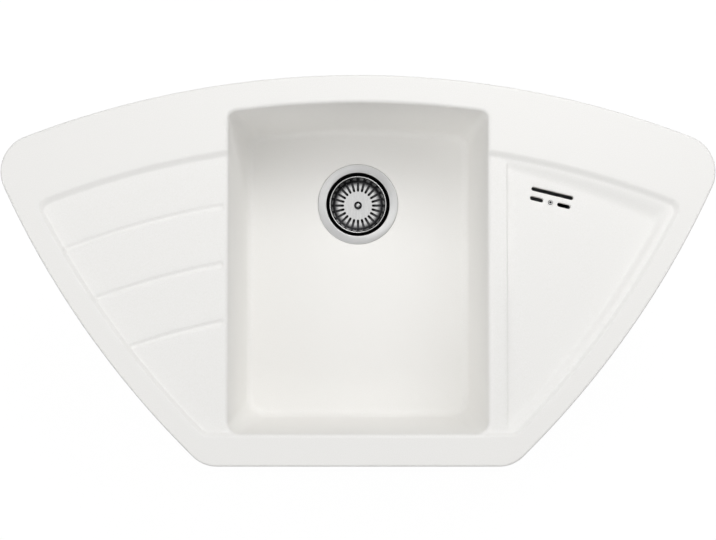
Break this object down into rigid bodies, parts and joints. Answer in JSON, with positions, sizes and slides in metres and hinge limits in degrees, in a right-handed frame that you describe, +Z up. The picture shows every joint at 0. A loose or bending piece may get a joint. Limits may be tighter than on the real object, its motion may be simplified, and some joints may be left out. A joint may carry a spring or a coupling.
{
  "type": "corner kitchen sink",
  "caption": "Inset corner sink with one deep bowl, grooved drainer, tilted side tray with overflow slots, basket strainer waste and rim fixings.",
  "frame": {"origin": "middle of the front run of the sealing strip's underside, where the rim rests on the worktop (worktop top face is Z = 0)", "axes": "+X to the user's right, along the straight front edge; +Y to the rear, into the corner; +Z up"},
  "size_m": [0.9322, 0.51, 0.3355],
  "materials": {
    "composite": "matte",
    "stainless": "satin",
    "zinc_steel": "satin",
    "brass": "satin",
    "black_rubber": "matte",
    "grey_foam": "matte",
    "white_plastic": "satin",
    "grey_plastic": "satin"
  },
  "bodies": {
    "root": {"sink_body": "composite", "rim_sealing_strip": "grey_foam", "strainer_flange": "stainless", "flange_seal": "black_rubber", "waste_gasket": "black_rubber", "waste_body": "white_plastic", "waste_screw": "stainless", "waste_nut": "brass", "outlet_seal": "black_rubber", "tailpiece": "white_plastic", "outlet_nut": "white_plastic", "overflow_box": "grey_plastic", "overflow_gasket": "grey_foam", "overflow_screw": "stainless", "overflow_hose": "grey_plastic", "hose_top_washer": "black_rubber", "hose_top_nut": "white_plastic", "hose_bottom_washer": "black_rubber", "hose_bottom_nut": "white_plastic", "clip_1_insert": "brass", "clip_2_insert": "brass", "clip_3_insert": "brass", "clip_4_insert": "brass", "clip_5_insert": "brass", "clip_6_insert": "brass", "clip_7_insert": "brass", "clip_8_insert": "brass"},
    "strainer_basket": {"basket": "stainless", "basket_stem": "stainless", "basket_seal": "black_rubber", "basket_knob": "stainless"},
    "clip_1_clamp_screw": {"clip_1_screw": "zinc_steel"},
    "clip_1_turning_claw": {"clip_1_claw": "zinc_steel"},
    "clip_2_clamp_screw": {"clip_2_screw": "zinc_steel"},
    "clip_2_turning_claw": {"clip_2_claw": "zinc_steel"},
    "clip_3_clamp_screw": {"clip_3_screw": "zinc_steel"},
    "clip_3_turning_claw": {"clip_3_claw": "zinc_steel"},
    "clip_4_clamp_screw": {"clip_4_screw": "zinc_steel"},
    "clip_4_turning_claw": {"clip_4_claw": "zinc_steel"},
    "clip_5_clamp_screw": {"clip_5_screw": "zinc_steel"},
    "clip_5_turning_claw": {"clip_5_claw": "zinc_steel"},
    "clip_6_clamp_screw": {"clip_6_screw": "zinc_steel"},
    "clip_6_turning_claw": {"clip_6_claw": "zinc_steel"},
    "clip_7_clamp_screw": {"clip_7_screw": "zinc_steel"},
    "clip_7_turning_claw": {"clip_7_claw": "zinc_steel"},
    "clip_8_clamp_screw": {"clip_8_screw": "zinc_steel"},
    "clip_8_turning_claw": {"clip_8_claw": "zinc_steel"}
  },
  "joints": [
    {"name": "basket_lift", "type": "slide", "parent": "root", "child": "strainer_basket", "axis": [0, 0, 1], "range_m": [0, 0.25]},
    {"name": "clip_1_tighten", "type": "slide", "parent": "root", "child": "clip_1_clamp_screw", "axis": [0, 0, 1], "range_m": [0, 0.018]},
    {"name": "clip_1_swing", "type": "hinge", "parent": "clip_1_clamp_screw", "child": "clip_1_turning_claw", "pos_m": [-0.11, 0.015, -0.058], "axis": [0, 0, 1], "range_deg": [0, 90]},
    {"name": "clip_2_tighten", "type": "slide", "parent": "root", "child": "clip_2_clamp_screw", "axis": [0, 0, 1], "range_m": [0, 0.018]},
    {"name": "clip_2_swing", "type": "hinge", "parent": "clip_2_clamp_screw", "child": "clip_2_turning_claw", "pos_m": [0.11, 0.015, -0.058], "axis": [0, 0, -1], "range_deg": [0, 90]},
    {"name": "clip_3_tighten", "type": "slide", "parent": "root", "child": "clip_3_clamp_screw", "axis": [0, 0, 1], "range_m": [0, 0.018]},
    {"name": "clip_3_swing", "type": "hinge", "parent": "clip_3_clamp_screw", "child": "clip_3_turning_claw", "pos_m": [0.23879, 0.08136, -0.058], "axis": [0, 0, -1], "range_deg": [0, 90]},
    {"name": "clip_4_tighten", "type": "slide", "parent": "root", "child": "clip_4_clamp_screw", "axis": [0, 0, 1], "range_m": [0, 0.018]},
    {"name": "clip_4_swing", "type": "hinge", "parent": "clip_4_clamp_screw", "child": "clip_4_turning_claw", "pos_m": [0.37304, 0.26325, -0.058], "axis": [0, 0, -1], "range_deg": [0, 90]},
    {"name": "clip_5_tighten", "type": "slide", "parent": "root", "child": "clip_5_clamp_screw", "axis": [0, 0, 1], "range_m": [0, 0.018]},
    {"name": "clip_5_swing", "type": "hinge", "parent": "clip_5_clamp_screw", "child": "clip_5_turning_claw", "pos_m": [0.24, 0.44071, -0.058], "axis": [0, 0, -1], "range_deg": [0, 90]},
    {"name": "clip_6_tighten", "type": "slide", "parent": "root", "child": "clip_6_clamp_screw", "axis": [0, 0, 1], "range_m": [0, 0.018]},
    {"name": "clip_6_swing", "type": "hinge", "parent": "clip_6_clamp_screw", "child": "clip_6_turning_claw", "pos_m": [-0.24, 0.44071, -0.058], "axis": [0, 0, 1], "range_deg": [0, 90]},
    {"name": "clip_7_tighten", "type": "slide", "parent": "root", "child": "clip_7_clamp_screw", "axis": [0, 0, 1], "range_m": [0, 0.018]},
    {"name": "clip_7_swing", "type": "hinge", "parent": "clip_7_clamp_screw", "child": "clip_7_turning_claw", "pos_m": [-0.37304, 0.26325, -0.058], "axis": [0, 0, 1], "range_deg": [0, 90]},
    {"name": "clip_8_tighten", "type": "slide", "parent": "root", "child": "clip_8_clamp_screw", "axis": [0, 0, 1], "range_m": [0, 0.018]},
    {"name": "clip_8_swing", "type": "hinge", "parent": "clip_8_clamp_screw", "child": "clip_8_turning_claw", "pos_m": [-0.23879, 0.08136, -0.058], "axis": [0, 0, 1], "range_deg": [0, 90]}
  ]
}
